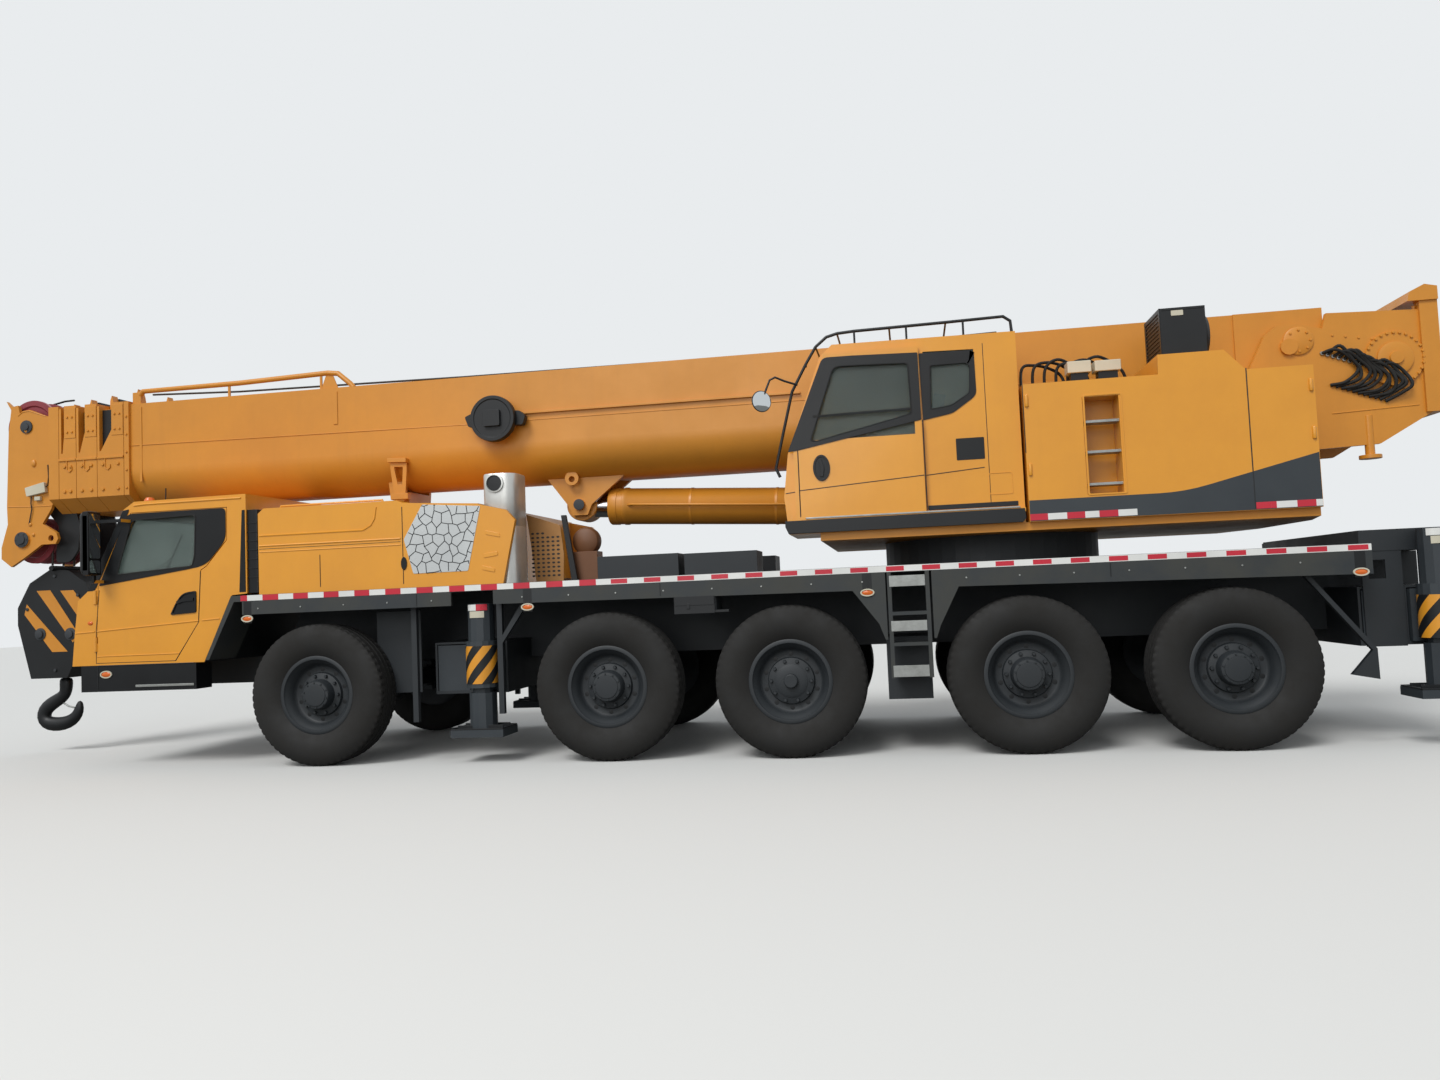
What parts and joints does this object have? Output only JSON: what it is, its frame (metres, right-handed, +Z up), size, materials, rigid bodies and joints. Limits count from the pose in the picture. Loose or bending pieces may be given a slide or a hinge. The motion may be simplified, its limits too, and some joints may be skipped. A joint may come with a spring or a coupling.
{
  "type": "mobile crane",
  "caption": "Mobile crane on a wheeled all-terrain carrier, with a driver's cab, a slewing upper works with an operator's cab, a telescopic boom and a hook block.",
  "frame": {"origin": "on the ground below the middle of the crane's overall length and width", "axes": "-X is the driving direction, -Y the crane's left side, +Z up"},
  "size_m": [14.98, 3.28, 4.105],
  "materials": {
    "cab_yellow": "gloss",
    "boom_yellow": "satin",
    "cover_yellow": "gloss",
    "chassis_grey": "satin",
    "deck_grey": "matte",
    "black_paint": "satin",
    "sheave_maroon": "satin",
    "tyre_rubber": "matte",
    "stainless": "satin",
    "rod_chrome": "polished",
    "window_glass": "gloss",
    "cab_trim": "matte",
    "engine_iron": "matte"
  },
  "bodies": {
    "carrier": {"axle_beams": "chassis_grey", "boom_rest": "chassis_grey", "boxes_and_tanks": "chassis_grey", "cab_bumper_steps": "black_paint", "carrier_cab": "cab_yellow", "carrier_cab_glass": "window_glass", "carrier_cab_interior": "cab_trim", "chassis_frame": "chassis_grey", "deck_plates": "deck_grey", "engine_block": "engine_iron", "engine_hood": "cab_yellow", "exhaust_box": "stainless", "slew_ring": "chassis_grey"},
    "superstructure": {"turntable": "boom_yellow", "operator_cab": "cab_yellow", "operator_cab_glass": "window_glass", "operator_station": "cab_trim", "left_housing": "cover_yellow", "right_housing": "cover_yellow", "oil_cooler": "black_paint", "hoist_winch": "black_paint"},
    "operator_door": {"operator_door": "cab_yellow"},
    "base_boom": {"base_boom": "boom_yellow"},
    "tele_1": {"tele_section_1": "boom_yellow"},
    "tele_2": {"tele_section_2": "boom_yellow"},
    "tele_3": {"tele_section_3": "boom_yellow"},
    "tele_4": {"tele_section_4": "boom_yellow", "head_sheaves": "sheave_maroon"},
    "luff_barrel": {"luff_barrel": "boom_yellow"},
    "luff_rod": {"luff_rod": "rod_chrome"},
    "hook_block": {"hook_block": "black_paint"},
    "hook": {"hook": "black_paint"},
    "wheel_1_left": {"wheel_1_left": "tyre_rubber"},
    "knuckle_1_left": {"knuckle_1_left": "chassis_grey"},
    "wheel_1_right": {"wheel_1_right": "tyre_rubber"},
    "knuckle_1_right": {"knuckle_1_right": "chassis_grey"},
    "wheel_2_left": {"wheel_2_left": "tyre_rubber"},
    "knuckle_2_left": {"knuckle_2_left": "chassis_grey"},
    "wheel_2_right": {"wheel_2_right": "tyre_rubber"},
    "knuckle_2_right": {"knuckle_2_right": "chassis_grey"},
    "wheel_3_left": {"wheel_3_left": "tyre_rubber"},
    "wheel_3_right": {"wheel_3_right": "tyre_rubber"},
    "wheel_4_left": {"wheel_4_left": "tyre_rubber"},
    "knuckle_4_left": {"knuckle_4_left": "chassis_grey"},
    "wheel_4_right": {"wheel_4_right": "tyre_rubber"},
    "knuckle_4_right": {"knuckle_4_right": "chassis_grey"},
    "wheel_5_left": {"wheel_5_left": "tyre_rubber"},
    "knuckle_5_left": {"knuckle_5_left": "chassis_grey"},
    "wheel_5_right": {"wheel_5_right": "tyre_rubber"},
    "knuckle_5_right": {"knuckle_5_right": "chassis_grey"},
    "cab_door_left": {"cab_door_left": "cab_yellow"},
    "cab_door_right": {"cab_door_right": "cab_yellow"},
    "outrigger_beam_front_left": {"outrigger_beam_front_left": "cab_yellow"},
    "outrigger_jack_front_left": {"outrigger_jack_front_left": "chassis_grey"},
    "outrigger_beam_front_right": {"outrigger_beam_front_right": "cab_yellow"},
    "outrigger_jack_front_right": {"outrigger_jack_front_right": "chassis_grey"},
    "outrigger_beam_rear_left": {"outrigger_beam_rear_left": "cab_yellow"},
    "outrigger_jack_rear_left": {"outrigger_jack_rear_left": "chassis_grey"},
    "outrigger_beam_rear_right": {"outrigger_beam_rear_right": "cab_yellow"},
    "outrigger_jack_rear_right": {"outrigger_jack_rear_right": "chassis_grey"}
  },
  "joints": [
    {"name": "steer_1_left", "type": "hinge", "parent": "carrier", "child": "knuckle_1_left", "pos_m": [-3.03, -1.03, 0.685], "axis": [0, 0, 1], "range_deg": [-30, 30]},
    {"name": "wheel_1_left_spin", "type": "hinge", "parent": "knuckle_1_left", "child": "wheel_1_left", "pos_m": [-3.03, -1.295, 0.685], "axis": [0, 1, 0], "continuous": true},
    {"name": "steer_1_right", "type": "hinge", "parent": "carrier", "child": "knuckle_1_right", "pos_m": [-3.03, 1.03, 0.685], "axis": [0, 0, 1], "range_deg": [-30.2, 30.2]},
    {"name": "wheel_1_right_spin", "type": "hinge", "parent": "knuckle_1_right", "child": "wheel_1_right", "pos_m": [-3.03, 1.295, 0.685], "axis": [0, 1, 0], "continuous": true},
    {"name": "steer_2_left", "type": "hinge", "parent": "carrier", "child": "knuckle_2_left", "pos_m": [-0.125, -1.03, 0.685], "axis": [0, 0, 1], "range_deg": [-12.2, 12.2]},
    {"name": "wheel_2_left_spin", "type": "hinge", "parent": "knuckle_2_left", "child": "wheel_2_left", "pos_m": [-0.125, -1.295, 0.685], "axis": [0, 1, 0], "continuous": true},
    {"name": "steer_2_right", "type": "hinge", "parent": "carrier", "child": "knuckle_2_right", "pos_m": [-0.125, 1.03, 0.685], "axis": [0, 0, 1], "range_deg": [-12.2, 12.2]},
    {"name": "wheel_2_right_spin", "type": "hinge", "parent": "knuckle_2_right", "child": "wheel_2_right", "pos_m": [-0.125, 1.295, 0.685], "axis": [0, 1, 0], "continuous": true},
    {"name": "wheel_3_left_spin", "type": "hinge", "parent": "carrier", "child": "wheel_3_left", "pos_m": [1.57, -1.295, 0.685], "axis": [0, 1, 0], "continuous": true},
    {"name": "wheel_3_right_spin", "type": "hinge", "parent": "carrier", "child": "wheel_3_right", "pos_m": [1.57, 1.295, 0.685], "axis": [0, 1, 0], "continuous": true},
    {"name": "steer_4_left", "type": "hinge", "parent": "carrier", "child": "knuckle_4_left", "pos_m": [3.634, -1.03, 0.685], "axis": [0, 0, 1], "range_deg": [-14.6, 14.6]},
    {"name": "wheel_4_left_spin", "type": "hinge", "parent": "knuckle_4_left", "child": "wheel_4_left", "pos_m": [3.634, -1.295, 0.685], "axis": [0, 1, 0], "continuous": true},
    {"name": "steer_4_right", "type": "hinge", "parent": "carrier", "child": "knuckle_4_right", "pos_m": [3.634, 1.03, 0.685], "axis": [0, 0, 1], "range_deg": [-14.6, 14.6]},
    {"name": "wheel_4_right_spin", "type": "hinge", "parent": "knuckle_4_right", "child": "wheel_4_right", "pos_m": [3.634, 1.295, 0.685], "axis": [0, 1, 0], "continuous": true},
    {"name": "steer_5_left", "type": "hinge", "parent": "carrier", "child": "knuckle_5_left", "pos_m": [5.32, -1.03, 0.685], "axis": [0, 0, 1], "range_deg": [-25.4, 25.4]},
    {"name": "wheel_5_left_spin", "type": "hinge", "parent": "knuckle_5_left", "child": "wheel_5_left", "pos_m": [5.32, -1.295, 0.685], "axis": [0, 1, 0], "continuous": true},
    {"name": "steer_5_right", "type": "hinge", "parent": "carrier", "child": "knuckle_5_right", "pos_m": [5.32, 1.03, 0.685], "axis": [0, 0, 1], "range_deg": [-25.4, 25.4]},
    {"name": "wheel_5_right_spin", "type": "hinge", "parent": "knuckle_5_right", "child": "wheel_5_right", "pos_m": [5.32, 1.295, 0.685], "axis": [0, 1, 0], "continuous": true},
    {"name": "cab_door_left_hinge", "type": "hinge", "parent": "carrier", "child": "cab_door_left", "pos_m": [-5.47, -1.39, 1.8], "axis": [0, 0, -1], "range_deg": [0, 70]},
    {"name": "cab_door_right_hinge", "type": "hinge", "parent": "carrier", "child": "cab_door_right", "pos_m": [-5.47, 1.39, 1.8], "axis": [0, 0, 1], "range_deg": [0, 70]},
    {"name": "operator_door_slide", "type": "slide", "parent": "superstructure", "child": "operator_door", "axis": [1, 0, 0], "range_m": [0, 0.62]},
    {"name": "outrigger_beam_front_left_slide", "type": "slide", "parent": "carrier", "child": "outrigger_beam_front_left", "axis": [0, -1, 0], "range_m": [0, 1.8]},
    {"name": "outrigger_jack_front_left_slide", "type": "slide", "parent": "outrigger_beam_front_left", "child": "outrigger_jack_front_left", "axis": [0, 0, -1], "range_m": [0, 0.24]},
    {"name": "outrigger_beam_front_right_slide", "type": "slide", "parent": "carrier", "child": "outrigger_beam_front_right", "axis": [0, 1, 0], "range_m": [0, 1.8]},
    {"name": "outrigger_jack_front_right_slide", "type": "slide", "parent": "outrigger_beam_front_right", "child": "outrigger_jack_front_right", "axis": [0, 0, -1], "range_m": [0, 0.24]},
    {"name": "outrigger_beam_rear_left_slide", "type": "slide", "parent": "carrier", "child": "outrigger_beam_rear_left", "axis": [0, -1, 0], "range_m": [0, 1.8]},
    {"name": "outrigger_jack_rear_left_slide", "type": "slide", "parent": "outrigger_beam_rear_left", "child": "outrigger_jack_rear_left", "axis": [0, 0, -1], "range_m": [0, 0.39]},
    {"name": "outrigger_beam_rear_right_slide", "type": "slide", "parent": "carrier", "child": "outrigger_beam_rear_right", "axis": [0, 1, 0], "range_m": [0, 1.8]},
    {"name": "outrigger_jack_rear_right_slide", "type": "slide", "parent": "outrigger_beam_rear_right", "child": "outrigger_jack_rear_right", "axis": [0, 0, -1], "range_m": [0, 0.39]},
    {"name": "slew", "type": "hinge", "parent": "carrier", "child": "superstructure", "pos_m": [3.495, 0, 1.93], "axis": [0, 0, 1], "continuous": true},
    {"name": "boom_luff", "type": "hinge", "parent": "superstructure", "child": "base_boom", "pos_m": [6.22, 0, 3.54], "axis": [0, 1, 0], "range_deg": [0, 80]},
    {"name": "tele_1_slide", "type": "slide", "parent": "base_boom", "child": "tele_1", "axis": [-1, 0, 0], "range_m": [0, 10.2]},
    {"name": "tele_2_slide", "type": "slide", "parent": "tele_1", "child": "tele_2", "axis": [-1, 0, 0], "range_m": [0, 10.205]},
    {"name": "tele_3_slide", "type": "slide", "parent": "tele_2", "child": "tele_3", "axis": [-1, 0, 0], "range_m": [0, 10.205]},
    {"name": "tele_4_slide", "type": "slide", "parent": "tele_3", "child": "tele_4", "axis": [-1, 0, 0], "range_m": [0, 10.205]},
    {"name": "luff_barrel_pivot", "type": "hinge", "parent": "superstructure", "child": "luff_barrel", "pos_m": [3.77, 0, 2.26], "axis": [0, 1, 0], "range_deg": [-0.2, 88.75]},
    {"name": "luff_rod_slide", "type": "slide", "parent": "luff_barrel", "child": "luff_rod", "axis": [-0.9986, 0, 0.0536], "range_m": [-0.005, 3.446]},
    {"name": "hook_block_swing", "type": "hinge", "parent": "tele_4", "child": "hook_block", "pos_m": [-7, 0, 2.12], "axis": [0, 1, 0], "range_deg": [-80.2, 0.2]},
    {"name": "hook_swivel", "type": "hinge", "parent": "hook_block", "child": "hook", "pos_m": [-7.045, 0, 0.86], "axis": [0, 0, 1], "continuous": true}
  ],
  "couplings": [
    {"joint": "steer_1_right", "follows": "steer_1_left", "ratio": 1},
    {"joint": "steer_2_left", "follows": "steer_1_left", "ratio": 0.4},
    {"joint": "steer_2_right", "follows": "steer_1_left", "ratio": 0.4},
    {"joint": "steer_4_left", "follows": "steer_1_left", "ratio": -0.48},
    {"joint": "steer_4_right", "follows": "steer_1_left", "ratio": -0.48},
    {"joint": "steer_5_left", "follows": "steer_1_left", "ratio": -0.84},
    {"joint": "steer_5_right", "follows": "steer_1_left", "ratio": -0.84},
    {"joint": "tele_2_slide", "follows": "tele_1_slide", "ratio": 1},
    {"joint": "tele_3_slide", "follows": "tele_1_slide", "ratio": 1},
    {"joint": "tele_4_slide", "follows": "tele_1_slide", "ratio": 1},
    {"joint": "luff_barrel_pivot", "follows": "boom_luff", "ratio": 1.1069},
    {"joint": "luff_rod_slide", "follows": "boom_luff", "m_per_rad": 2.4644},
    {"joint": "hook_block_swing", "follows": "boom_luff", "ratio": -1}
  ]
}
